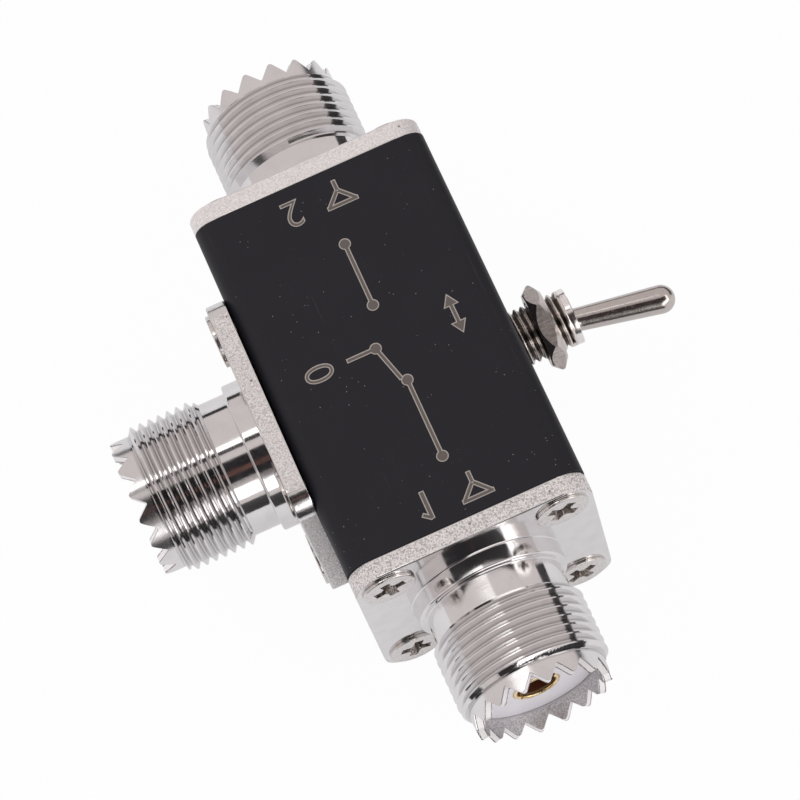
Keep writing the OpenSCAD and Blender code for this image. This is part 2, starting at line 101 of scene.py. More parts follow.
back = Vector((math.cos(LOOK_ELEVATION) * math.cos(LOOK_AZIMUTH),
               math.cos(LOOK_ELEVATION) * math.sin(LOOK_AZIMUTH), math.sin(LOOK_ELEVATION)))
right = Vector((0, 0, 1)).cross(back).normalized()
axes = Matrix((right, back.cross(right), back)).transposed().to_4x4()
bpy.ops.object.camera_add()
camera = bpy.context.object
camera.matrix_world = (Matrix.Translation((LOOK_AT + LOOK_DISTANCE * back) * MM) @ axes
                       @ Matrix.Rotation(LOOK_ROLL, 4, "Z"))
camera.data.lens, camera.data.sensor_width = LENS, SENSOR
camera.data.clip_start, camera.data.clip_end = 0.01, 20
bpy.context.scene.camera = camera
print("camera at", [round(c, 4) for c in camera.location])

# %% [markdown]
# ## Helpers for modelling
# An operator acts on everything that is selected, so each step starts with nothing
# selected. Faces and edges are picked by a question about their place and direction,
# which is what a modeller does by eye.

# %% Selecting and editing
def take(*pieces):
    """Leaves only these pieces selected, with the first one active."""
    if bpy.context.mode != "OBJECT":
        done()
    bpy.ops.object.select_all(action="DESELECT")
    for piece in pieces:
        piece.select_set(True)
    bpy.context.view_layer.objects.active = pieces[0]


def done():
    bpy.ops.object.mode_set(mode="OBJECT")


def open_all(piece, kind="EDGE", action="SELECT"):
    """Opens the piece for editing, with everything in it selected, or nothing."""
    take(piece)
    bpy.ops.object.mode_set(mode="EDIT")
    bpy.ops.mesh.select_mode(type=kind)
    bpy.ops.mesh.select_all(action=action)


def pick(piece, kind, wanted):
    """Opens the piece with the faces or edges selected that wanted() says yes to."""
    open_all(piece, kind, "DESELECT")
    done()
    mesh = piece.data
    if kind == "FACE":
        for face in mesh.polygons:
            face.select = wanted(face.center, face.normal)
    else:
        for edge in mesh.edges:
            edge.select = wanted(*(mesh.vertices[i].co for i in edge.vertices))
    bpy.ops.object.mode_set(mode="EDIT")


def bevel_edges(piece, wanted, width, segments, **limits):
    pick(piece, "EDGE", wanted)
    bpy.ops.mesh.bevel(offset=width, segments=segments, affect="EDGES", **limits)
    done()


def merge(piece, distance, outwards=True):
    """Merges the points that lie together, and turns the faces outwards."""
    open_all(piece)
    bpy.ops.mesh.remove_doubles(threshold=distance)
    if outwards:
        bpy.ops.mesh.normals_make_consistent(inside=False)
    done()


# %% [markdown]
# A piece starts as a primitive or a copy, and its place goes into its mesh at once. A
# modifier is applied as soon as it is set, so each piece stays a plain mesh that the next
# step can edit.

# %% Adding, applying and joining
def just_added(name):
    """What the last operator added, named, with its place in its mesh."""
    piece = bpy.context.object
    piece.name = piece.data.name = name
    take(piece)
    bpy.ops.object.transform_apply(location=True, rotation=True, scale=True)
    return piece


def modified(piece, kind, **settings):
    """Adds a modifier, sets it up and applies it."""
    take(piece)
    modifier = piece.modifiers.new(kind.lower(), kind)
    for key, value in settings.items():
        setattr(modifier, key, value)
    bpy.ops.object.modifier_apply(modifier=modifier.name)
    return piece


def combine(piece, other, operation, itself=False, finishes="INDEX"):
    """Cuts, joins or intersects a piece with another one, which is used up."""
    modified(piece, "BOOLEAN", operation=operation, object=other, solver="EXACT",
             use_self=itself, material_mode=finishes)
    bpy.data.objects.remove(other)
    return piece


def join(pieces, name):
    """Makes one object of several, each as a loose part of its mesh."""
    take(*pieces)
    bpy.ops.object.join()
    joined = bpy.context.object
    joined.name = joined.data.name = name
    return joined


def copied(piece, name, place=UPRIGHT):
    """A copy with its own mesh, moved to a place."""
    other = piece.copy()
    other.data = piece.data.copy()
    other.name = other.data.name = name
    bpy.context.scene.collection.objects.link(other)
    other.data.transform(place)
    return other


# %% [markdown]
# Most of this object was turned on a lathe: the barrels, the contacts, the screws, the
# lever. Such a piece is modelled from one ring of vertices, which is extruded and resized
# from one point of the half outline to the next. An outline that starts on the axis is
# closed with a face and merged to a point at its end, and one that runs round a bore goes
# back to its first ring.

# %% A lathe made of extruded rings
def turned(name, outline, sides):
    """A solid of revolution round Z from a half outline of (radius, height) points."""
    on_axis = outline[0][0] == 0
    rings = outline[1:] if on_axis else outline + outline[:1]
    bpy.ops.mesh.primitive_circle_add(vertices=sides, radius=rings[0][0],
                                      location=(0, 0, rings[0][1]))
    piece = just_added(name)
    open_all(piece)
    if on_axis:
        bpy.ops.mesh.edge_face_add()
        pick(piece, "EDGE", lambda a, b: True)
    for (r0, z0), (r1, z1) in zip(rings, rings[1:]):
        bpy.ops.mesh.extrude_edges_move(TRANSFORM_OT_translate={"value": (0, 0, z1 - z0)})
        if r1 == 0:
            bpy.ops.mesh.merge(type="CENTER")
        elif r1 != r0:
            bpy.ops.transform.resize(value=(r1 / r0, r1 / r0, 1), center_override=(0, 0, 0))
    merge(piece, 1e-5)
    return piece


def rounded(corner, start, end, radius, steps=3):
    """Points that round off a corner of an outline between its two neighbours."""
    corner, start, end = Vector(corner), Vector(start), Vector(end)
    to_start, to_end = (start - corner).normalized(), (end - corner).normalized()
    half = to_start.angle(to_end) / 2
    reach = radius / math.tan(half)
    centre = corner + (to_start + to_end).normalized() * (radius / math.sin(half))
    first, last = corner + to_start * reach - centre, corner + to_end * reach - centre
    turn = first.angle_signed(last)
    return [tuple(centre + Matrix.Rotation(-turn * i / steps, 2) @ first)
            for i in range(steps + 1)]


# %% [markdown]
# A screw thread is a groove that runs round a plain cylinder. A flat profile of the
# groove is swept by the Screw modifier along the helix, its two ends are filled, and the
# solid that this makes is cut out of the blank. The crests stay on the blank's own
# surface, and the groove runs out through the chamfers as it does on a real thread.

# %% A helical groove to cut threads with
PAST_CREST = 0.04


def helical_groove(name, radius, depth, pitch, crest, root, start, turns, sides):
    """The solid between the crests of a thread, from the height start over so many turns."""
    slope = (pitch - crest - root) / 2 / depth
    inner, outer = radius - depth, radius + PAST_CREST
    wide = root / 2 + slope * (depth + PAST_CREST)
    bpy.ops.mesh.primitive_plane_add(size=1)
    groove = just_added(name)
    corners = [(inner, -root / 2), (inner, root / 2), (outer, -wide), (outer, wide)]
    for vertex, (out, height) in zip(groove.data.vertices, corners):
        vertex.co = (out, 0, start + height)
    modified(groove, "SCREW", axis="Z", screw_offset=pitch, iterations=turns, steps=sides,
             render_steps=sides, use_merge_vertices=False)
    merge(groove, 1e-6, outwards=False)
    open_all(groove, "EDGE", "DESELECT")
    bpy.ops.mesh.select_non_manifold()
    bpy.ops.mesh.fill()
    bpy.ops.mesh.select_all(action="SELECT")
    bpy.ops.mesh.normals_make_consistent(inside=False)
    done()
    return groove


# %% [markdown]
# A finished piece gets smooth shading up to an angle. Its large faces keep their own
# direction, so that a bevel beside a flat or a cylinder doesn't bend what is mirrored in
# it. Then it goes to its place, it is parented to the empty of the body that it rides on,
# and the frame's node that it stands for is hidden.

# %% Finishing a piece
def paint(piece, *finishes):
    piece.data.materials.clear()
    for finish in finishes:
        piece.data.materials.append(finish)


def repaint(piece, wanted):
    """Gives a piece's second finish to the faces that wanted() says yes to."""
    for face in piece.data.polygons:
        if wanted(face.center, face.normal):
            face.material_index = 1


def engrave(piece, cutter, finish):
    """Cuts with a cutter whose own finish goes onto the faces that it leaves."""
    paint(cutter, finish)
    combine(piece, cutter, "DIFFERENCE", True, "TRANSFER")


def settle(piece, degrees, place, body, node):
    """Shades a piece that was modelled in millimetres, and puts it on its body."""
    take(piece)
    bpy.ops.object.shade_smooth_by_angle(angle=math.radians(degrees))
    modified(piece, "WEIGHTED_NORMAL", keep_sharp=True)
    piece.data.transform(Matrix.Scale(MM, 4) @ place)
    piece.data.update()
    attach(piece, body)
    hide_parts(node)
    print(piece.name, "on", body, len(piece.data.polygons), "faces")


# %% [markdown]
# ## Writing shader maths as sums
# A procedural material is a small calculation. Written node by node it is hard to read,
# so one small class wraps a socket, and the operators on it add the Math nodes. Every
# other node comes from one method, which takes the node's type without ShaderNode in
# front, its settings and the values or links of its sockets.

# %% Shader maths
class Value:
    """A number or a vector on its way through a node tree."""

    def __init__(self, nodes, socket):
        self.nodes, self.socket = nodes, socket

    def maths(self, operation, *inputs):
        return self.nodes.add("Math", {"operation": operation}, dict(enumerate(inputs)))

    def __add__(self, other):
        return self.maths("ADD", self, other)

    def __sub__(self, other):
        return self.maths("SUBTRACT", self, other)

    def __rsub__(self, other):
        return self.maths("SUBTRACT", other, self)

    def __mul__(self, other):
        return self.maths("MULTIPLY", self, other)

    __radd__ = __add__
    __rmul__ = __mul__


class Nodes:
    """A node tree under construction."""

    def __init__(self, tree):
        self.tree = tree

    def add(self, kind, settings, inputs, output=0):
        """Adds any node: its settings first, then the values or links of its sockets."""
        node = self.tree.nodes.new("ShaderNode" + kind)
        for key, value in settings.items():
            setattr(node, key, value)
        for key, value in inputs.items():
            self.feed(node.inputs[key], value)
        return Value(self, node.outputs[output])

    def feed(self, socket, value):
        if isinstance(value, Value):
            self.tree.links.new(value.socket, socket)
        elif socket.type == "RGBA":
            socket.default_value = (*value, 1)
        else:
            socket.default_value = value


class Material(Nodes):
    """One material under construction."""

    def __init__(self, name):
        self.material = bpy.data.materials.new(name)
        self.material.use_nodes = True
        super().__init__(self.material.node_tree)
        self.shader = self.tree.nodes["Principled BSDF"]

    def surface(self, **sockets):
        """Sets the surface's own sockets, by their names with _ for a space."""
        for key, value in sockets.items():
            self.feed(self.shader.inputs[key.replace("_", " ")], value)
        return self.material


# %% [markdown]
# A finish of the object is a material that knows the piece's own millimetres: a Mapping
# node takes the object's coordinates back to where the piece was modelled. Its patterns
# are noise, cells and smooth steps between two values. Two patterns come up again: the
# fine rings that a lathe leaves along the axis, and small flecks that lie in patches.

# %% Patterns in a piece's own millimetres
class Finish(Material):
    """A material of the object, with coordinates in a piece's own millimetres."""

    def __init__(self, name, place=UPRIGHT):
        super().__init__(name)
        moved, rotation, scaled = (Matrix.Scale(MM, 4) @ place).inverted().decompose()
        self.place = self.add("Mapping", {"vector_type": "POINT"}, {
            "Vector": self.add("TexCoord", {}, {}, "Object"), "Location": moved,
            "Rotation": rotation.to_euler(), "Scale": scaled})
        self.x, self.y, self.z = (
            self.add("SeparateXYZ", {}, {"Vector": self.place}, axis)
            for axis in "XYZ")

    def vector(self, x, y, z):
        return self.add("CombineXYZ", {}, {"X": x, "Y": y, "Z": z})

    def from_axis(self):
        """The distance of a point from the piece's own axis."""
        return self.add("VectorMath", {"operation": "LENGTH"}, {
            0: self.vector(self.x, self.y, 0.0)}, "Value")

    def noise(self, per_mm, detail=2.0, where=None):
        return self.add("TexNoise", {}, {
            "Vector": where or self.place, "Scale": per_mm, "Detail": detail})

    def rings(self, per_mm):
        return self.noise(per_mm, 3.0, self.vector(0.0, 0.0, self.z))

    def cells(self, per_mm):
        return self.add("TexVoronoi", {}, {
            "Vector": self.place, "Scale": per_mm}, "Distance")

    def flecks(self, per_mm, size, patches_per_mm, patch):
        """A mask of small separate spots, which are there only in some patches."""
        spots = 1 - self.step(self.cells(per_mm), *size)
        return spots * self.step(self.noise(patches_per_mm, 1.0), *patch)

    def step(self, value, start, end):
        """0 below start and 1 above end, with a smooth run between."""
        return self.add("MapRange", {"interpolation_type": "SMOOTHSTEP"}, {
            "Value": value, "From Min": start, "From Max": end})

    def layers(self, colour, *layers):
        """Lays tints over a colour, each through its mask. Mix has its colours at 6 and 7."""
        for mask, tint in layers:
            colour = self.add("Mix", {"data_type": "RGBA"}, {
                "Factor": mask, 6: colour, 7: tint}, 2)
        return colour

    def bump(self, height, depth_mm, strength):
        return self.add("Bump", {}, {
            "Height": height, "Distance": depth_mm * MM, "Strength": strength})


def shaded(tint, share):
    return tuple(c * share for c in tint)


# %% [markdown]
# ## Black anodising
# The block is extruded aluminium, bead blasted and anodised black. Close up it is a very
# dark blue-grey with a fine satin grain, and handling leaves it a few bright dust specks
# and hair-thin scratches. Grain and specks come from noise at two scales, and the
# scratches from noise that is stretched nearly two hundred times along the block.

# %% Black anodised aluminium
def anodised():
    skin = Finish("black_anodised_aluminium")
    grain = skin.noise(14.0, 3.0)
    clouds = skin.noise(0.16, 2.0)
    long_way = skin.vector(skin.x * 0.05, skin.y * 9.0, skin.z * 9.0)
    hairs = (skin.step(skin.noise(1.0, 2.0, long_way), 0.68, 0.73)
             * skin.step(clouds, 0.48, 0.60))
    dust = skin.flecks(1.5, (0.05, 0.085), 0.45, (0.47, 0.60))
    colour = skin.layers(
        (0.0082, 0.0080, 0.0124), (clouds, (0.0120, 0.0117, 0.0168)),
        (skin.step(grain, 0.35, 0.7) * 0.5, (0.0200, 0.0196, 0.0252)),
        (hairs * 0.13, (0.16, 0.16, 0.18)), (dust * 0.7, (0.42, 0.42, 0.44)))
    return skin.surface(
        Base_Color=colour, Metallic=0.0, Specular_IOR_Level=0.26,
        Roughness=0.44 + 0.12 * grain - 0.08 * hairs,
        Normal=skin.bump(grain + 0.6 * skin.noise(5.0, 2.0), 0.012, 0.5))


# %% [markdown]
# The marks are burnt in with a laser. It leaves a warm grey that is lighter along the
# outline of each stroke, where the beam went round once more, and a fine slanting hatch
# inside. The hatch is a wave across the strokes, and the outline is a mesh of its own.

# %% Laser marks
def laser_mark(name, tint, hatch_depth):
    mark = Finish(name)
    across = mark.add("TexWave", {"wave_type": "BANDS", "bands_direction": "X"}, {
        "Vector": mark.vector(mark.x + mark.y * 0.8, 0.0, 0.0), "Scale": 1.9,
        "Distortion": 0.6, "Detail": 2.0}, "Fac")
    speckle = mark.noise(11.0, 3.0)
    colour = mark.layers(shaded(tint, 1 - hatch_depth), (across * 0.6 + speckle * 0.4, tint))
    return mark.surface(
        Base_Color=colour, Metallic=0.35, Roughness=0.42 + 0.2 * speckle,
        Normal=mark.bump(across + speckle, 0.01, 0.4))


# %% [markdown]
# ## Nickel plate
# The sockets are turned and stamped brass, plated with bright nickel. The plate is a
# mirror with a slight warm tint. What tells it from chrome is its small faults: pits from
# the metal below, hazy patches, and the fine rings that the lathe left, which show as
# light and dark lines on the barrel. The rings follow the height along the socket's own
# axis, so each socket's material has a Mapping node for its place. By the same height and
# the distance from that axis, the flange's corners are a little rough and the teeth are
# grainy inside. Light and shade are painted there too: the thread's roots are painted
# darker as painted shade, the teeth's sawn flanks are painted a flat white as a painted
# reflection, and two thin dark lines of painted shade run along each flank's edges.

# %% Bright nickel with lathe rings
PLATE = (0.82, 0.805, 0.805)
ROUGH_CORNER = (15.7, 15.9)


def nickel(name, place):
    plate = Finish(name, place)
    radius = plate.from_axis()
    fine = plate.rings(16.0)
    swirl = plate.noise(9.0, 2.0, plate.vector(radius, 0.0, 0.0))
    haze = plate.noise(0.5, 3.0)
    pits = plate.flecks(2.3, (0.05, 0.11), 0.8, (0.46, 0.6))
    crown = plate.step(plate.z, RIM + 0.1, RIM + 0.3)
    wall = plate.step(radius, BORE + 0.04, BORE + 0.08)
    inner = crown * (1 - wall)
    # Painted reflection: the sawn flanks get a flat near-white colour and less metal, standing
    # in for the white surroundings mirrored in them.
    flank = crown * wall * (1 - plate.step(radius, NECK - 0.08, NECK - 0.04))
    # Painted shade: thin dark lines along the inner and outer edges of each flank stand in for
    # the shading at the teeth's edges.
    painted_edge_shade = flank * (1 - plate.step(radius, BORE + 0.12, BORE + 0.18)
                    + plate.step(radius, NECK - 0.18, NECK - 0.12))
    saw = plate.noise(6.5, 3.0)
    sawn = (inner + 0.35 * flank) * saw
    corner = plate.step(radius, *ROUGH_CORNER)
    # Painted shade: the thread's roots are painted darker, standing in for the shade inside the
    # groove.
    painted_root_shade = (plate.step(plate.z, THREAD_START, THREAD_START + 0.3) * (1 - crown)
             * (1 - plate.step(radius, THREAD - 0.54, THREAD - 0.28)))
    colour = plate.layers(
        PLATE, (plate.step(haze, 0.3, 0.75), shaded(PLATE, 0.93)),
        (fine * 0.25, shaded(PLATE, 0.80)), (painted_root_shade * 0.45, shaded(PLATE, 0.52)),
        (plate.step(saw, 0.45, 0.58) * inner * 0.7, shaded(PLATE, 0.50)),
        (flank, (0.95, 0.94, 0.94)),
        (painted_edge_shade * plate.step(saw, 0.34, 0.44) * 0.9, (0.07, 0.06, 0.057)),
        (pits * 0.75, (0.16, 0.14, 0.13)))
    height = (fine + 0.6 * swirl - 3.0 * pits + 0.5 * plate.noise(3.0, 2.0) + 2.2 * sawn
              + 4.0 * corner * plate.noise(4.0, 3.0))
    return plate.surface(
        Base_Color=colour, Metallic=1.0 - 0.75 * flank,
        Roughness=(0.09 + 0.10 * plate.step(haze, 0.45, 0.8) + 0.25 * pits + 0.34 * sawn
                   + 0.22 * flank + 0.10 * crown + 0.08 * corner),
        Normal=plate.bump(height, 0.006, 0.35))


# %% [markdown]
# The flange is sawn from a cast bar, so its four narrow sides keep a sandy skin under the
# plate. It glitters: each grain faces another way. That is a strong fine bump under a
# rough metal, and the glitter is painted into the colour as well: white painted glints
# for grains that catch the light, and a darker pattern between the grains as painted
# shade. The three bars aren't equally coarse or bright, so the amounts of sand and of
# light skin are settings.

# %% Sandy nickel for the flange's sides
def sandy_nickel(name, place, sand_amount, light_skin):
    sand = Finish(name, place)
    grains = sand.cells(5.2)
    fine = sand.noise(9.0, 3.0)
    dents = sand.flecks(0.9, (0.06, 0.16), 0.5, (0.5, 0.58))
    # Painted highlights: white specks in the colour stand in for grains that catch the light.
    painted_glints = sand.step(sand.noise(13.0, 1.0), 0.58, 0.68) * sand_amount
    # Painted shade: the darker pattern between the grains stands in for grains that face away
    # from the light.
    colour = sand.layers(
        (0.81, 0.775, 0.765), (sand.step(fine, 0.35, 0.66), (0.98, 0.955, 0.95)),
        (sand.step(grains, 0.40, 0.75) * 0.72 * sand_amount, (0.38, 0.35, 0.34)),
        (painted_glints, (1.0, 1.0, 1.0)), (dents * 0.7, (0.20, 0.18, 0.17)))
    return sand.surface(
        Base_Color=colour, Metallic=0.8 - 0.4 * light_skin,
        Roughness=0.46 + 0.2 * fine - 0.2 * painted_glints,
        Normal=sand.bump(sand_amount * (grains * 1.8 + fine) - dents * 2.0, 0.06, 0.8))


# %% [markdown]
# ## Insulators and gilt contacts
# The white insulator is turned from a fluoropolymer. It is a little translucent, so its
# white is soft and slightly cool, with faint turning rings. The contact inside it has a
# thin layer of gold over nickel, which looks paler where it is worn. Its bore is painted
# dark below the mouth, as painted shade.

# %% White insulator and gilt
def white_insulator(name, place):
    white = Finish(name, place)
    rings = white.noise(7.0, 2.0, white.vector(white.from_axis(), 0.0, white.z))
    soft = white.noise(0.7, 3.0)
    specks = white.flecks(1.6, (0.03, 0.07), 0.9, (0.56, 0.62))
    colour = white.layers((0.80, 0.79, 0.845), (soft, (0.86, 0.86, 0.885)),
                          (specks * 0.5, (0.45, 0.42, 0.40)))
    return white.surface(
        Base_Color=colour, Roughness=0.34 + 0.12 * rings, Subsurface_Weight=0.12,
        Subsurface_Radius=(0.0012, 0.0011, 0.001),
        Normal=white.bump(rings + soft, 0.012, 0.4))


def gilt(name, place):
    gold = Finish(name, place)
    fine = gold.rings(9.0)
    worn = gold.step(gold.noise(1.6, 3.0), 0.42, 0.72)
    # Painted shade: below the contact's mouth the bore is painted dark and made less metallic,
    # standing in for the shade deep in the bore.
    inside = ((1 - gold.step(gold.z, RIM - 0.4, RIM - 0.1))
              * (1 - gold.step(gold.from_axis(), PIN_BORE + 0.02, PIN_BORE + 0.12)))
    colour = gold.layers((0.93, 0.70, 0.36), (worn, (0.96, 0.84, 0.60)),
                         (inside, (0.115, 0.028, 0.009)))
    return gold.surface(
        Base_Color=colour, Metallic=1.0 - 0.75 * inside,
        Roughness=0.16 + 0.14 * worn + 0.1 * fine + 0.3 * inside,
        Normal=gold.bump(fine + gold.noise(4.0, 2.0), 0.006, 0.4))


# %% [markdown]
# ## The toggle's finish and the screws
# The toggle's bushing, nut and lever are turned brass with a thinner, greyer nickel than
# the sockets. A lathe and a tumbling drum have left rings and small cross scratches on
# them. The screws are tumbled steel: bright on the rim and torn in the cross, where the
# driver has scraped the plate away. What is left there is a darker, warmer steel with
# ridges, and its dark patches are painted shade in the recess as well.

# %% Toggle nickel, screw nickel and torn metal
def toggle_nickel(name, place, tint, root=0.0, ring_depth=0.005):
    """Thin warm nickel. What is nearer to the axis than root is painted dark, as painted shade
    in a thread's grooves.
    """
    metal = Finish(name, place)
    slanting = metal.noise(1.0, 2.0, metal.vector(
        (metal.x + metal.z) * 7.0, (metal.y - metal.z) * 7.0, metal.z * 1.5))
    hairs = metal.step(slanting, 0.60, 0.68)
    haze = metal.noise(1.1, 3.0)
    colour = metal.layers(tint, (haze, shaded(tint, 1.12)), (hairs * 0.35, (0.34, 0.30, 0.27)))
    if root:
        # Painted shade: below the thread's crests the colour is darkened, standing in for the
        # shade in the grooves.
        hollow = 1 - metal.step(metal.from_axis(), root - 0.12, root + 0.08)
        colour = metal.layers(colour, (hollow * 0.9, (0.10, 0.08, 0.07)))
    return metal.surface(
        Base_Color=colour, Metallic=1.0, Roughness=0.14 + 0.10 * haze + 0.08 * hairs,
        Normal=metal.bump(metal.rings(7.0) + 0.4 * slanting, ring_depth, 0.5))


def brushed_flats(name, place, tint):
    """The nut's flats: milled along the axis, with a fine crossing hatch."""
    metal = Finish(name, place)
    along = metal.noise(1.0, 3.0, metal.vector(metal.x * 14.0, metal.y * 14.0, metal.z * 1.2))
    cross = metal.noise(1.0, 2.0, metal.vector(metal.x * 1.5, metal.y * 1.5, metal.z * 13.0))
    lines = along * 0.65 + cross * 0.35
    colour = metal.layers(shaded(tint, 0.62),
                          (metal.step(lines, 0.36, 0.66), shaded(tint, 1.25)))
    return metal.surface(Base_Color=colour, Metallic=1.0, Roughness=0.30 + 0.2 * lines,
                         Normal=metal.bump(lines, 0.012, 0.6))


def screw_nickel(name):
    metal = Finish(name)
    haze = metal.noise(1.3, 3.0)
    tears = metal.step(metal.noise(5.0, 3.0), 0.5, 0.66)
    colour = metal.layers((0.80, 0.775, 0.75), (haze, (0.72, 0.69, 0.665)),
                          (tears * 0.35, (0.40, 0.37, 0.35)))
    return metal.surface(Base_Color=colour, Metallic=1.0, Roughness=0.13 + 0.14 * haze,
                         Normal=metal.bump(tears + haze, 0.012, 0.4))


# Partly real and partly painted: the bare steel in the cross is darker and warmer, and its dark
# patches are painted shade in the recess.
def torn_and_shaded_metal(name):
    metal = Finish(name)
    ridges = metal.noise(7.0, 3.0)
    colour = metal.layers((0.55, 0.51, 0.48),
                          (metal.step(ridges, 0.38, 0.62), (0.15, 0.125, 0.11)))
    return metal.surface(Base_Color=colour, Metallic=1.0, Roughness=0.26 + 0.2 * ridges,
                         Normal=metal.bump(ridges + 0.6 * metal.noise(16.0, 2.0), 0.05, 0.8))


# %% [markdown]
# ## Stage
# The photograph was taken on a white sweep. Through the Light Path node, the floor glows
# white to the camera and half as much to reflections, and is an ordinary diffuse white to
# all other light, so that it doesn't light the object too much. A small share of diffuse
# is left for the camera as well: that share keeps the soft shadow.

# %% White floor
def ray_share(nodes, shares):
    """A number for each kind of ray: the largest share of the kinds that this ray is of."""
    total = None
    for ray, share in shares.items():
        part = nodes.add("LightPath", {}, {}, ray) * share
        total = part if total is None else total.maths("MAXIMUM", total, part)
    return total


def white_sweep():
    sweep = Material("white_sweep")
    sweep.surface(Base_Color=(0.79, 0.785, 0.84), Roughness=1.0, Specular_IOR_Level=0.0)
    share = ray_share(sweep, {"Is Camera Ray": 0.97, "Is Glossy Ray": 0.5,
                              "Is Transmission Ray": 0.5})
    mix = sweep.add("MixShader", {}, {
        0: share, 1: Value(sweep, sweep.shader.outputs[0]),
        2: sweep.add("Emission", {}, {})})
    sweep.feed(sweep.tree.nodes["Material Output"].inputs["Surface"], mix)
    return sweep.material


bpy.ops.mesh.primitive_plane_add(size=8, location=(0, 0, -0.0001))
floor = bpy.context.object
floor.name = "floor"
paint(floor, white_sweep())
print("floor:", floor.dimensions[0], "m across")

# %% [markdown]
# ## Light
# Bright nickel shows nothing but its surroundings, so the bands on the barrels tell how
# the real object was lit. A cylinder that lies along Y mirrors the directions in the XZ
# plane, each at its own place across the barrel, and they can be read off: a grey tent, a
# thin bright strip overhead with a dark beam beside it, the dark opening for the camera, a
# bright soft box low on the right, and then black where the white table ends. The other
# two barrels show the same for the YZ plane. Here the world is the tent, area lamps are
# the soft boxes, and dark cards are the rest. Only glossy rays see the cards, so they cast
# no shadow. The left wall is a lamp that no glossy ray sees: it only lifts the sides.

# %% Soft boxes and cards
CENTRE = (0, 0, 0.0125)


def from_angle(turn, height, distance):
    """A place round the object: turn from +X towards +Y, and height, in degrees."""
    turn, height = math.radians(turn), math.radians(height)
    return (distance * math.cos(height) * math.cos(turn),
            distance * math.cos(height) * math.sin(turn),
            distance * math.sin(height) + CENTRE[2])


def facing(place):
    """The rotation that turns a lamp or a card at this place towards the object."""
    return (Vector(CENTRE) - Vector(place)).to_track_quat("-Z", "Y").to_euler()


def soft_box(name, place, size, radiance, rotation=None):
    """An area lamp as bright to look at as the radiance says, where 1 is white."""
    bpy.ops.object.light_add(type="AREA", location=place, rotation=rotation or facing(place))
    lamp = bpy.context.object
    lamp.name = name
    lamp.data.shape = "RECTANGLE"
    lamp.data.size, lamp.data.size_y = size
    lamp.data.energy = math.pi * size[0] * size[1] * radiance
    return lamp


def dark_card(name, place, size, rotation=None, colour=(0.02, 0.02, 0.022)):
    bpy.ops.mesh.primitive_plane_add(size=1, location=place, rotation=rotation or facing(place))
    card = bpy.context.object
    card.name = name
    card.scale = (*size, 1)
    paint(card, Material(name).surface(Base_Color=colour, Roughness=1.0))
    card.visible_camera = card.visible_diffuse = card.visible_shadow = False
    card.visible_transmission = card.visible_volume_scatter = False


soft_box("low_box", from_angle(26.5, 26, 0.9), (1.28, 0.36), 1.5)
soft_box("right_box", from_angle(64, 44, 0.9), (0.45, 0.35), 1.5)
soft_box("left_wall", from_angle(-110, 32, 1.0), (1.7, 1.2), 0.72).visible_glossy = False
soft_box("strip", (-0.18, -0.26, 0.79), (0.09, 0.52), 2.2, (0, math.radians(-13), 0))
CAMERA_SIDE = facing(from_angle(0, 62, 0.55))
dark_card("camera_opening", from_angle(0, 62, 0.55), (1.0, 0.36), CAMERA_SIDE)
dark_card("warm_board", (0.272, -0.0175, 0.465), (0.055, 0.07), CAMERA_SIDE, (0.25, 0.12, 0.09))
dark_card("camera_stand", from_angle(-19, 24.5, 0.5), (0.195, 0.39), None, (0.03, 0.024, 0.023))
dark_card("beam", (-0.078, -0.26, 0.78), (0.09, 0.52), (0, math.radians(-6), 0))
dark_card("table_end_right", (0.25, -0.03, 0.025), (0.40, 0.13), (0, math.radians(-7), 0))
dark_card("table_end_back", (-0.2, 0.33, 0.045), (0.4, 0.54), (math.radians(9.5), 0, 0))
dark_card("table_end_far", from_angle(180, 4, 0.6), (0.9, 0.09))

# %% [markdown]
# The tent is a slightly warm grey. Its cloth is lit unevenly, and the nickel mirrors more
# of its bright half, so glossy rays see it a little brighter than it lights the object.

# %% The tent
TENT_LIGHT, TENT_MIRRORED = 0.56, 0.14

world = bpy.data.worlds.new("studio")
world.use_nodes = True
bpy.context.scene.world = world
tent = Nodes(world.node_tree)
background = world.node_tree.nodes["Background"]
tent.feed(background.inputs["Color"], (1.0, 0.93, 0.915))
tent.feed(background.inputs["Strength"],
          ray_share(tent, {"Is Glossy Ray": TENT_MIRRORED}) + TENT_LIGHT)
bpy.context.scene.view_settings.view_transform = "Standard"
print("tent:", TENT_LIGHT, "and to mirrors", TENT_LIGHT + TENT_MIRRORED)

# %% [markdown]
# ## The housing
# The real block is a length of square extrusion with round long edges, bored through from
# end to end for the wiring, drilled for the socket on one side and the switch on the
# other, and tapped for twelve screws. It is made here in that order: a cube, a bevel on
# the four long edges, and then the bores as boolean cuts, so that the ends and the holes
# are as true as on a machined part.

# %% The bored block
HOUSING_EDGE, WIRING_BORE, SOCKET_HOLE, TAPPED_HOLE = 2.0, 10.5, 6.1, 1.5


def cube(name, centre, size):
    bpy.ops.mesh.primitive_cube_add(size=1, location=centre, scale=size)
    return just_added(name)


def drill(piece, place, radius, start, end, sides=64):
    """Cuts a round hole from one height to another in a part's own frame."""
    bpy.ops.mesh.primitive_cylinder_add(vertices=sides, radius=radius, depth=end - start,
                                        location=(0, 0, (start + end) / 2))
    bit = just_added("drill")
    bit.data.transform(place)
    return combine(piece, bit, "DIFFERENCE")


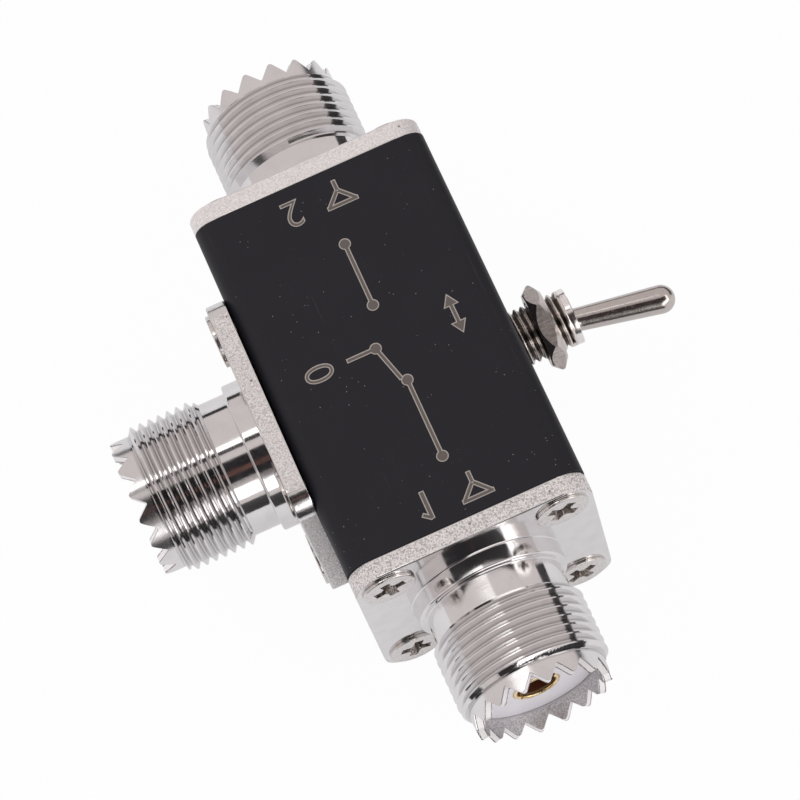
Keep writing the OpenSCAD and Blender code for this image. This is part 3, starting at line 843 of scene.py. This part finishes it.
def bored_block():
    block = cube("housing_block", (0, 0, MID_Z), (HOUSING_LENGTH, HOUSING_SIDE, HOUSING_SIDE))
    bevel_edges(block, lambda a, b: abs(a.x - b.x) > 1, HOUSING_EDGE, 10)
    drill(block, SOCKETS["ant1"], WIRING_BORE, -HOUSING_LENGTH - 5, 1, 128)
    drill(block, SOCKETS["tx"], SOCKET_HOLE, -FLANGE_THICKNESS - MID_Z, 1)
    drill(block, TOGGLE, BUSHING, 0, WALL + 1)
    for place in SOCKETS.values():
        for x, y in SCREW_PLACES:
            drill(block, place @ at(x, y), TAPPED_HOLE, -FLANGE_THICKNESS - 4, 0, 24)
    return block


block = bored_block()
print("block:", len(block.data.polygons), "faces")

# %% [markdown]
# ## Plain marks on the top face
# The top face carries what a switch box needs to be wired: the two outlets are numbered,
# each beside the drawing sign for an aerial, the common inlet is 0, a line diagram shows
# the changeover in the middle, and a double arrow shows which way the lever goes. Each
# stroke is a thin bar that stands in the face. All of them are joined and cut out of the
# block at once, to the small depth that a laser reaches, and the cutter's finish goes onto
# the floor of the cut. A second set, drawn narrower all round, goes a hair deeper with the
# hatched finish, so the brighter outline is what the first cut leaves round it.

# %% Strokes, dots and numerals
STROKE, DOT, ARROW_HEAD, NUMERAL = 0.5, 0.62, 0.95, 3.1
DIGIT_SHARE, BOLD = 0.73, 0.02


def on_top(mark, x, y, turn):
    mark.data.transform(at(x, y, HOUSING_SIDE, turn))
    return mark


def stroke(inset, depth, x0, y0, x1, y1, width=STROKE):
    """A bar from one point of the top face to another, narrower and shorter by the inset."""
    length = math.hypot(x1 - x0, y1 - y0) - 2 * inset
    bar = cube("stroke", (0, 0, 0), (length, width - 2 * inset, 2 * depth))
    return on_top(bar, (x0 + x1) / 2, (y0 + y1) / 2, math.atan2(y1 - y0, x1 - x0))


def dot(inset, depth, x, y, radius=DOT, sides=32, turn=0.0):
    """A disc, or with three sides the head of an arrow."""
    bpy.ops.mesh.primitive_cylinder_add(
        vertices=sides, radius=radius - inset / math.cos(math.pi / sides), depth=2 * depth)
    return on_top(just_added("dot"), x, y, turn)


def numeral(inset, depth, x, y, sign, turn):
    """One digit as a solid. It is as high as the given share of its font's size."""
    bpy.ops.object.text_add()
    digit = bpy.context.object
    digit.data.body = sign
    digit.data.align_x = digit.data.align_y = "CENTER"
    digit.data.size = NUMERAL / DIGIT_SHARE
    digit.data.extrude = depth
    digit.data.offset = BOLD - inset
    digit.data.resolution_u = 8
    take(digit)
    bpy.ops.object.convert(target="MESH")
    merge(digit, 1e-4)
    return on_top(digit, x, y, turn)


# %% [markdown]
# The marks are a list of what is drawn, each with its own numbers: two aerials, the 1 as
# two strokes, the 2 and the 0 as numerals, the lines and dots of the diagram, and the
# double arrow.

# %% All marks, cut in twice
OUTLET = HOUSING_LENGTH / 2 - 2.8
MARKS = []
for x in (OUTLET, -OUTLET):
    MARKS += [(stroke, x - 1.5, 2.3, x - 0.2, 2.3), (stroke, x - 0.3, 2.3, x + 1.3, 3.75),
              (stroke, x - 0.3, 2.3, x + 1.3, 0.85), (stroke, x + 1.3, 3.98, x + 1.3, 0.62)]
MARKS += [(stroke, OUTLET - 1.55, -2.6, OUTLET + 1.55, -2.6, 0.55),
          (stroke, OUTLET + 1.45, -2.55, OUTLET + 0.75, -3.4),
          (numeral, -OUTLET, -2.7, "2", -QUARTER), (numeral, 0.0, -7.0, "0", 0.0),
          (stroke, -11.7, 0.75, -4.4, 0.75), (stroke, 4.4, 0.75, 13.2, 0.75),
          (stroke, 0.0, -3.9, 0.0, -0.8), (stroke, 0.0, -0.8, 4.1, 0.3),
          (dot, -4.4, 0.75), (dot, 4.4, 0.75), (dot, 0.0, -0.8), (dot, -11.7, 0.75),
          (dot, 13.2, 0.75), (stroke, -1.2, 7.7, 1.2, 7.7),
          (dot, -1.35, 7.7, ARROW_HEAD, 3, QUARTER), (dot, 1.35, 7.7, ARROW_HEAD, 3, -QUARTER)]


def all_marks(inset, depth):
    return join([draw(inset, depth, *numbers) for draw, *numbers in MARKS], "marks")


paint(block, anodised())
engrave(block, all_marks(0.0, 0.030), laser_mark("laser_outline", (0.52, 0.475, 0.44), 0.2))
engrave(block, all_marks(0.105, 0.036), laser_mark("laser_hatch", (0.20, 0.175, 0.16), 0.62))
print("finishes on the block:", [m.name for m in block.data.materials])
settle(block, 28, UPRIGHT, "switch_box", "housing")

# %% [markdown]
# ## The coaxial sockets
# Each socket is one brass part: a square flange with a turned barrel. The flange is a
# cube whose corners are bevelled. The barrel is turned in one go, as a half outline that
# is spun, and joined to the flange. The bore, the screw holes, the thread and the gaps
# between the teeth are then cut away, which is also the order in the factory. It is
# modelled once and copied three times.

# %% Flange and barrel
SCREW_SEAT = [(0, -3), (1.6, -3), (1.6, -1.1), (2.77, 0.07), (2.77, 1), (0, 1)]


def flange():
    plate = cube("flange", (0, 0, -FLANGE_THICKNESS / 2),
                 (HOUSING_SIDE, HOUSING_SIDE, FLANGE_THICKNESS))
    bevel_edges(plate, lambda a, b: abs(a.z - b.z) > 1, FLANGE_CORNER, 10)
    bevel_edges(plate, lambda a, b: abs(a.z - b.z) < 0.1, 0.16, 2)
    return plate


def barrel_blank():
    outline = [(0, -5), (5.8, -5), (6, -4.8), (6, -1), (COLLAR, -1), (COLLAR, -0.01),
               (8.02, 0.03), (7.93, 0.07), (THREAD, 0.14)]
    outline += rounded((THREAD, 1.9), (THREAD, 0), (NECK, 1.9), 0.22)
    outline += rounded((NECK, 1.9), (THREAD, 1.9), (NECK, 4), 0.12)
    outline += [(NECK, 4.7), (THREAD, 5.3), (THREAD, 11.85), (7.55, 12.25)]
    outline += rounded((NECK, RIM), (7.55, RIM), (NECK, CROWN_ROOT), 0.05)
    return turned("barrel", outline + [(NECK, CROWN_TOP), (0, CROWN_TOP)], 128)


def socket_shell():
    shell = combine(flange(), barrel_blank(), "UNION")
    bore = turned("bore", [(0, -6), (TAIL_BORE, -6), (TAIL_BORE, SHOULDER), (BORE, SHOULDER),
                           (BORE, 16), (0, 16)], 128)
    combine(shell, bore, "DIFFERENCE")
    for x, y in SCREW_PLACES:
        hole = turned("screw_hole", SCREW_SEAT, 48)
        hole.data.transform(at(x, y))
        combine(shell, hole, "DIFFERENCE")
    return shell


shell = socket_shell()
print("shell before its thread:", len(shell.data.polygons), "faces")

# %% [markdown]
# The thread has the V shape of the real one: sharp crests with a hair of flat on them,
# seven turns, a smooth band in front of it and a run-out behind. It is cut with the
# helical groove that was set up above.

# %% Thread of the barrel
groove = helical_groove("barrel_groove", THREAD, depth=0.58, pitch=1.0, crest=0.14, root=0.15,
                        start=THREAD_START, turns=8, sides=128)
combine(shell, groove, "DIFFERENCE")
print("shell with its thread:", len(shell.data.polygons), "faces")

# %% [markdown]
# Sixteen teeth stand on the barrel's rim. They were cut by a saw that left each tooth a
# wedge with straight flanks and a small round tip. One wedge is a cube whose top is
# scaled to a ridge, which is then bevelled round. Sixteen of them round the axis, not
# quite equally high, are taken from a ring. What is left of the ring is what the saw
# removed.

# %% Crown of teeth
TEETH, CROWN_TURN, TOOTH_TIP = 16, math.radians(12.6), 0.35
TOOTH_HEIGHTS = (1, 0.95, 0.98, 0.93, 1, 0.97, 0.94, 0.99)
RING_INSIDE, RING_OUTSIDE = 5.6, 7.8


def tooth():
    """A wedge that stands across the ring, with its root at height 0 and pointing up."""
    half_root = NECK * math.sin(math.pi / TEETH)
    tip = CROWN_TOP - CROWN_ROOT - TOOTH_TIP
    slope = -math.tan(math.atan2(tip, -half_root)
                      - math.asin(TOOTH_TIP / math.hypot(half_root, tip)))
    sharp, low = half_root * slope, -0.5
    wedge = cube("tooth", ((RING_INSIDE + RING_OUTSIDE) / 2, 0, (sharp + low) / 2),
                 (2.4, 2 * (sharp - low) / slope, sharp - low))
    pick(wedge, "FACE", lambda centre, normal: normal.z > 0.9)
    bpy.ops.transform.resize(value=(1, 0.0001, 1), center_override=(0, 0, 0))
    bpy.ops.mesh.select_all(action="SELECT")
    bpy.ops.mesh.remove_doubles(threshold=0.01)
    bevel_edges(wedge, lambda a, b: a.z > tip and b.z > tip, TOOTH_TIP * slope, 6)
    return wedge


def saw_gaps():
    low, high = CROWN_ROOT - 0.3, CROWN_ROOT + 3
    ring = turned("saw_gaps", [(RING_INSIDE, low), (RING_OUTSIDE, low), (RING_OUTSIDE, high),
                               (RING_INSIDE, high)], 128)
    one = tooth()
    wedges = [copied(one, "tooth_%d" % i,
                     at(0, 0, CROWN_ROOT, CROWN_TURN + i * 2 * math.pi / TEETH)
                     @ Matrix.Scale(TOOTH_HEIGHTS[i % len(TOOTH_HEIGHTS)], 4, (0, 0, 1)))
              for i in range(TEETH)]
    bpy.data.objects.remove(one)
    return combine(ring, join(wedges, "teeth"), "DIFFERENCE", True)


combine(shell, saw_gaps(), "DIFFERENCE")

# %% [markdown]
# The saw had a slightly round edge, so the bottom of each gap is a small curve and not a
# sharp V. The edges there run outwards across the ring at the height of the roots, which
# is how they are found, and a bevel rounds them.

# %% Round roots between the teeth
def is_root(a, b):
    across = abs(math.hypot(a.x, a.y) - math.hypot(b.x, b.y)) > 0.5
    return across and all(CROWN_ROOT - 0.1 < v.z < CROWN_ROOT + 0.45 for v in (a, b))


bevel_edges(shell, is_root, 0.22, 3, clamp_overlap=True)
top = max(v.co.z for v in shell.data.vertices)
print("shell with its teeth:", len(shell.data.polygons), "faces, top at", round(top, 3), "mm")

# %% [markdown]
# The insulator is turned as a sleeve with a slightly dished front. The contact is a tube
# with a rounded lip and two narrow slots that let it grip the plug's pin.

# %% Insulator and contact
def dielectric():
    outline = [(CONTACT, TAIL_END), (TAIL_BORE, TAIL_END), (TAIL_BORE, SHOULDER),
               (BORE, SHOULDER)]
    outline += rounded((BORE, RIM), (BORE, 5), (CONTACT, RIM), 0.15)
    outline += [(5.6, RIM - 0.02), (3.2, RIM - 0.06), (CONTACT, RIM - 0.06)]
    return turned("dielectric", outline, 96)


def centre_contact():
    face = RIM + 0.1
    outline = [(0, -7.9), (1.0, -7.9), (1.0, -9), (1.45, -9), (1.6, -8.85), (1.6, TAIL_END),
               (CONTACT, TAIL_END)]
    outline += rounded((CONTACT, face), (CONTACT, 0), (PIN_BORE, face), 0.24, 5)
    outline += rounded((PIN_BORE, face), (CONTACT, face), (PIN_BORE, 0), 0.2, 5)
    outline += [(PIN_BORE, face - 9.8), (0, face - 10)]
    slot = cube("slot", (0, 0, face - 1.3), (0.3, 6, 3.6))
    slot.data.transform(at(0, 0, turn=math.radians(35)))
    return combine(turned("contact", outline, 64), slot, "DIFFERENCE")


insulator, contact = dielectric(), centre_contact()
print("insulator:", len(insulator.data.polygons), "contact:", len(contact.data.polygons))

# %% [markdown]
# The flange screws are M3 with a countersunk head whose rim stands out of the seat. Each
# was driven until it was tight, so their heads aren't equally proud. The cross was cold
# formed and then chewed by the driver: its arms meet in a wide hollow, and the tool that
# cuts it here has its corners moved at random, with a fixed seed. No two of the twelve are
# turned alike. The torn inside has a darker finish of its own: partly the bare steel, and
# partly painted shade in the recess.

# %% Flange screws
SCREW_TURNS = {"tx": (20, 65, 38, 5), "ant1": (12, 50, 70, 33), "ant2": (42, 8, 25, 58)}
HEAD_PROUD = {"tx": (0.45, 0.43, 0.32, 0.36), "ant1": (0.36, 0.34, 0.38, 0.36),
              "ant2": (0.38, 0.40, 0.36, 0.38)}
ARM, TEAR, SEAT_TOP = (4.1, 1.12, 1.5), 0.075, 0.05
SCREW_METAL, TORN_AND_SHADED_METAL = screw_nickel("screw_nickel"), torn_and_shaded_metal("torn_cross_with_painted_shade")


def cross_bit(top, seed):
    """The tapered cross that a driver leaves, with torn edges."""
    arms = []
    for number, turn in enumerate((0, QUARTER)):
        arm = cube("arm", (0, 0, top - 0.35), ARM)
        pick(arm, "FACE", lambda centre, normal: normal.z < -0.9)
        bpy.ops.transform.resize(value=(0.3, 0.55, 1), center_override=(0, 0, 0))
        bpy.ops.mesh.select_all(action="SELECT")
        bpy.ops.mesh.subdivide(number_cuts=3)
        bpy.ops.transform.vertex_random(offset=TEAR, seed=seed + number)
        done()
        arm.data.transform(at(0, 0, turn=turn))
        arms.append(arm)
    bpy.ops.mesh.primitive_cone_add(vertices=8, radius1=0.15, radius2=1.15, depth=1.5,
                                    location=(0, 0, top - 0.42))
    return join([just_added("hollow")] + arms, "cross_bit")


def flange_screw(proud, seed):
    outline = [(0, SEAT_TOP - 5.7), (1.3, SEAT_TOP - 5.7), (1.5, SEAT_TOP - 5.45),
               (1.5, SEAT_TOP - 1.25), (2.75, SEAT_TOP)]
    outline += rounded((2.75, proud), (2.75, SEAT_TOP), (0, proud), 0.14)
    outline += [(2.45, proud), (2.36, proud - 0.04), (0, proud - 0.05)]
    screw = turned("flange_screw", outline, 48)
    paint(screw, SCREW_METAL)
    engrave(screw, cross_bit(proud, seed), TORN_AND_SHADED_METAL)
    return screw


def four_screws(name, seed):
    screws = []
    for (x, y), proud, turn in zip(SCREW_PLACES, HEAD_PROUD[name], SCREW_TURNS[name]):
        screw = flange_screw(proud, seed + len(screws))
        screw.data.transform(at(x, y, turn=math.radians(turn)))
        screws.append(screw)
    return join(screws, name + "_flange_screws")


# %% [markdown]
# Now the three sockets are put together. Each copy has its own mesh, and its own nickel,
# because the turning rings in the finish run round that socket's axis. The flange's four
# narrow sides take the sandy finish. On two of the sockets the sand runs on round the
# corners, and on the common one the corners are bright.

# %% The three sockets in place
SAND = {"tx": (0.6, 0.0), "ant1": (1.0, 0.8), "ant2": (0.3, 0.5)}


def finish_shell(piece, name, place):
    edge = HOUSING_SIDE / 2

    def is_sandy(centre, normal):
        x, y, z = (abs(c) for c in centre)
        flat = max(abs(normal.x), abs(normal.y)) > 0.995 and max(x, y) > edge - 0.08
        corner = math.hypot(x - edge + FLANGE_CORNER, y - edge + FLANGE_CORNER)
        round_corner = (name != "tx" and min(x, y) > edge - FLANGE_CORNER
                        and corner > FLANGE_CORNER - 0.12)
        return 0 < z < FLANGE_THICKNESS and (flat or round_corner)

    paint(piece, nickel("bright_nickel_" + name, place),
          sandy_nickel("sandy_nickel_" + name, place, *SAND[name]))
    repaint(piece, is_sandy)


for number, (name, place) in enumerate(SOCKETS.items()):
    body = copied(shell, name + "_socket_shell")
    finish_shell(body, name, place)
    settle(body, 32, place, "switch_box", name + "_socket_body")

    sleeve = copied(insulator, name + "_dielectric")
    paint(sleeve, white_insulator("white_insulator_" + name, place))
    settle(sleeve, 30, place, "switch_box", name + "_insulator")

    tube = copied(contact, name + "_centre_contact")
    paint(tube, gilt("gilt_" + name, place))
    settle(tube, 40, place, "switch_box", name + "_contact")

    settle(four_screws(name, 10 * number), 35, place, "switch_box",
           name + "_screws")

for piece in (shell, insulator, contact):
    bpy.data.objects.remove(piece)

# %% [markdown]
# ## The toggle switch
# The bushing's inside is a seat for the lever's ball, with slots that hold the lever
# upright. The frame's own part has that inside, so a copy of its mesh is merged into a
# clean solid, and the fine thread is cut round it. Behind the nut, four crests show before
# the wall. The bushing's end has no thread, so its skin is cut off there, and a plain ring
# with one turned line, made on the lathe, is joined on.

# %% Threaded bushing
def clean_copy(node, name, place):
    """A merged copy of a CAD node's mesh, back in the millimetres of its own frame."""
    other = copied(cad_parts[node], name)
    other.hide_render = other.hide_viewport = False
    for key in list(other.keys()):
        del other[key]
    other.parent = None
    other.matrix_world = UPRIGHT
    other.data.transform((Matrix.Scale(MM, 4) @ place).inverted())
    other.data.materials.clear()
    merge(other, 2e-4, outwards=False)
    return other


END_LINE, BUSHING_END = 18.36, 19
END_CUT = [(2.6, 18.1), (3.3, 18.1), (3.3, 19.3), (2.6, 19.3)]
END_RING = [(2.5, 18.0), (2.85, 18.0), (BUSHING, 18.12), (BUSHING, END_LINE - 0.08),
            (2.83, END_LINE), (BUSHING, END_LINE + 0.08), (BUSHING, BUSHING_END - 0.04),
            (2.91, BUSHING_END), (2.5, BUSHING_END)]

bushing = clean_copy("toggle_bushing", "threaded_bushing", TOGGLE)
groove = helical_groove("bushing_groove", BUSHING, depth=0.36, pitch=0.72, crest=0.16, root=0.1,
                        start=12.25, turns=8, sides=64)
combine(bushing, groove, "DIFFERENCE")
combine(bushing, turned("end_cut", END_CUT, 64), "DIFFERENCE")
combine(bushing, turned("end_ring", END_RING, 64), "UNION")
paint(bushing, toggle_nickel("bushing_nickel", TOGGLE, (0.74, 0.69, 0.655), BUSHING - 0.15),
      toggle_nickel("ring_nickel", TOGGLE, (0.88, 0.85, 0.835)))
repaint(bushing, lambda centre, normal: centre.z > END_LINE + 0.01)
settle(bushing, 32, TOGGLE, "switch_box", "toggle_bushing")

# %% [markdown]
# The nut starts as a six-sided prism. A blank with a bevel on both faces, made on the
# lathe, is intersected with it. That is how a real nut gets the curved edge at the top of
# each flat. Towards the wall the bevel is steeper, so that it only takes the corners.

# %% Bevelled nut
NUT_FLATS, NUT_THICKNESS, NUT_GAP, NUT_TURN = 8.0, 1.8, 2.5, math.radians(21.5)
NUT_BLANK = [(0, 0), (3.9, 0), (4.645, 0.87), (4.645, NUT_THICKNESS - 0.75),
             (3.65, NUT_THICKNESS), (0, NUT_THICKNESS)]
NUT_BORE = [(0, -1), (3.25, -1), (3.25, 0), (BUSHING, 0.3), (BUSHING, NUT_THICKNESS - 0.3),
            (3.25, NUT_THICKNESS), (3.25, NUT_THICKNESS + 1), (0, NUT_THICKNESS + 1)]


def bevelled_nut():
    bpy.ops.mesh.primitive_cylinder_add(
        vertices=6, radius=NUT_FLATS / 2 / math.cos(math.pi / 6), depth=NUT_THICKNESS,
        location=(0, 0, NUT_THICKNESS / 2))
    nut = just_added("bevelled_nut")
    bevel_edges(nut, lambda a, b: True, 0.07, 2)
    nut.data.transform(at(0, 0, turn=NUT_TURN + math.pi / 6))
    combine(nut, turned("nut_blank", NUT_BLANK, 128), "INTERSECT")
    return combine(nut, turned("nut_bore", NUT_BORE, 64), "DIFFERENCE")


def is_flat(centre, normal):
    return abs(normal.z) < 0.05 and math.hypot(centre.x, centre.y) > 3.6


nut = bevelled_nut()
paint(nut, toggle_nickel("nut_nickel", TOGGLE, (0.58, 0.535, 0.505)),
      brushed_flats("nut_flats", TOGGLE, (0.60, 0.545, 0.515)))
repaint(nut, is_flat)
settle(nut, 25, TOGGLE @ at(0, 0, WALL + NUT_GAP), "switch_box", "toggle_nut")

# %% [markdown]
# The lever is turned from one rod: a round tip, a slight taper down to the neck, the ball
# that it turns on, and a tail with a bore for the plunger. Its joint turns it about Z at
# the ball's centre, so the piece rides on the lever's body and goes with it.

# %% Bat lever
LEAN, PIVOT_Y = math.radians(11.4), 16.0
LEVER = at(0, PIVOT_Y, MID_Z, -LEAN) @ Matrix.Rotation(-QUARTER, 4, "X")
BALL, TAIL, LEVER_NECK, HEAD, LEVER_LENGTH = 1.8, 1.0, 1.2, 1.475, 13.35
PIN, PIN_HOLE = 0.4, 4.2


def arc(radius, centre, start, step, points):
    """Points round a centre on the axis, from one angle on in equal steps."""
    angles = (start + step * i for i in range(points))
    return [(radius * math.cos(a), centre + radius * math.sin(a)) for a in angles]


def bat_lever():
    first, last = -math.acos(TAIL / BALL), math.acos(LEVER_NECK / BALL)
    outline = [(0, -2.2), (0.62, -2.2), (0.62, -7.0), (0.95, -7.0), (TAIL, -6.95)]
    outline += arc(BALL, 0, first, (last - first) / 20, 21)
    outline += [(LEVER_NECK, 3.0), (1.29, 6.0), (1.385, 9.0)]
    outline += arc(HEAD, LEVER_LENGTH - HEAD, 0, QUARTER / 14, 14)
    lever = turned("bat_lever", outline + [(0, LEVER_LENGTH)], 64)
    return drill(lever, Matrix.Rotation(QUARTER, 4, "X"), PIN, -PIN_HOLE / 2, PIN_HOLE / 2, 24)


lever = bat_lever()
paint(lever, toggle_nickel("lever_nickel", LEVER, (0.56, 0.52, 0.495), ring_depth=0.016))
settle(lever, 30, LEVER, "lever", "toggle_lever")

# %% [markdown]
# ## Parts inside the block
# The switch's case, frame, terminals and wiring are hidden in the block, but the model
# can be opened, so each part that stays as the frame has it gets a finish of its own:
# zinc-plated sheet, moulded plastic with a fine spark-eroded grain, silver contact alloy,
# tinned brass and copper, and solder with its dull, rippled skin.

# %% Finishes for the inner parts
def plain_metal(name, low_tint, high_tint, roughness, grain, depth):
    metal = Finish(name)
    haze = metal.noise(0.9, 3.0)
    fine = metal.noise(grain, 3.0)
    colour = metal.layers(low_tint, (haze, high_tint),
                          (metal.step(fine, 0.55, 0.75) * 0.3, shaded(low_tint, 0.6)))
    return metal.surface(Base_Color=colour, Metallic=1.0,
                         Roughness=roughness + 0.16 * haze + 0.08 * fine,
                         Normal=metal.bump(fine + haze, depth, 0.5))


def moulded(name, low_tint, high_tint, roughness):
    plastic = Finish(name)
    cloud = plastic.noise(0.6, 2.0)
    grain = plastic.cells(6.0)
    flow = plastic.noise(1.0, 2.0, plastic.vector(plastic.x * 0.4, plastic.y * 2.0,
                                                  plastic.z * 0.4))
    colour = plastic.layers(low_tint, (cloud * 0.6 + flow * 0.4, high_tint))
    return plastic.surface(Base_Color=colour, Roughness=roughness + 0.12 * grain,
                           Normal=plastic.bump(grain + 0.5 * flow, 0.012, 0.5))


SPRING_STEEL = plain_metal("spring_steel", (0.50, 0.49, 0.47), (0.62, 0.60, 0.57),
                           0.20, 8.0, 0.004)
TINNED = plain_metal("tinned_brass", (0.66, 0.65, 0.62), (0.77, 0.76, 0.73), 0.28, 3.0, 0.010)
SOLDER = plain_metal("solder_skin", (0.52, 0.52, 0.53), (0.68, 0.68, 0.69), 0.34, 2.0, 0.030)
INNER = {
    "lever_pin": SPRING_STEEL, "plunger_spring": SPRING_STEEL,
    "plunger": moulded("natural_nylon_plunger", (0.80, 0.77, 0.68), (0.87, 0.84, 0.76), 0.36),
    "switch_frame": plain_metal("zinc_plated_steel", (0.62, 0.63, 0.62), (0.72, 0.71, 0.66),
                                0.26, 4.0, 0.008),
    "switch_case": moulded("blue_moulded_case", (0.10, 0.225, 0.45), (0.135, 0.285, 0.54), 0.42),
    "rocker_contact": plain_metal("silver_contact_alloy", (0.78, 0.76, 0.72),
                                  (0.88, 0.87, 0.84), 0.18, 5.0, 0.006),
    "common_terminal": TINNED, "ant1_terminal": TINNED, "ant2_terminal": TINNED,
}
for name in SOCKETS:
    INNER[name + "_wire"], INNER[name + "_solder"] = TINNED, SOLDER
for node, finish in INNER.items():
    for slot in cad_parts[node].material_slots:
        slot.material = finish
    print(node, "in", finish.name)
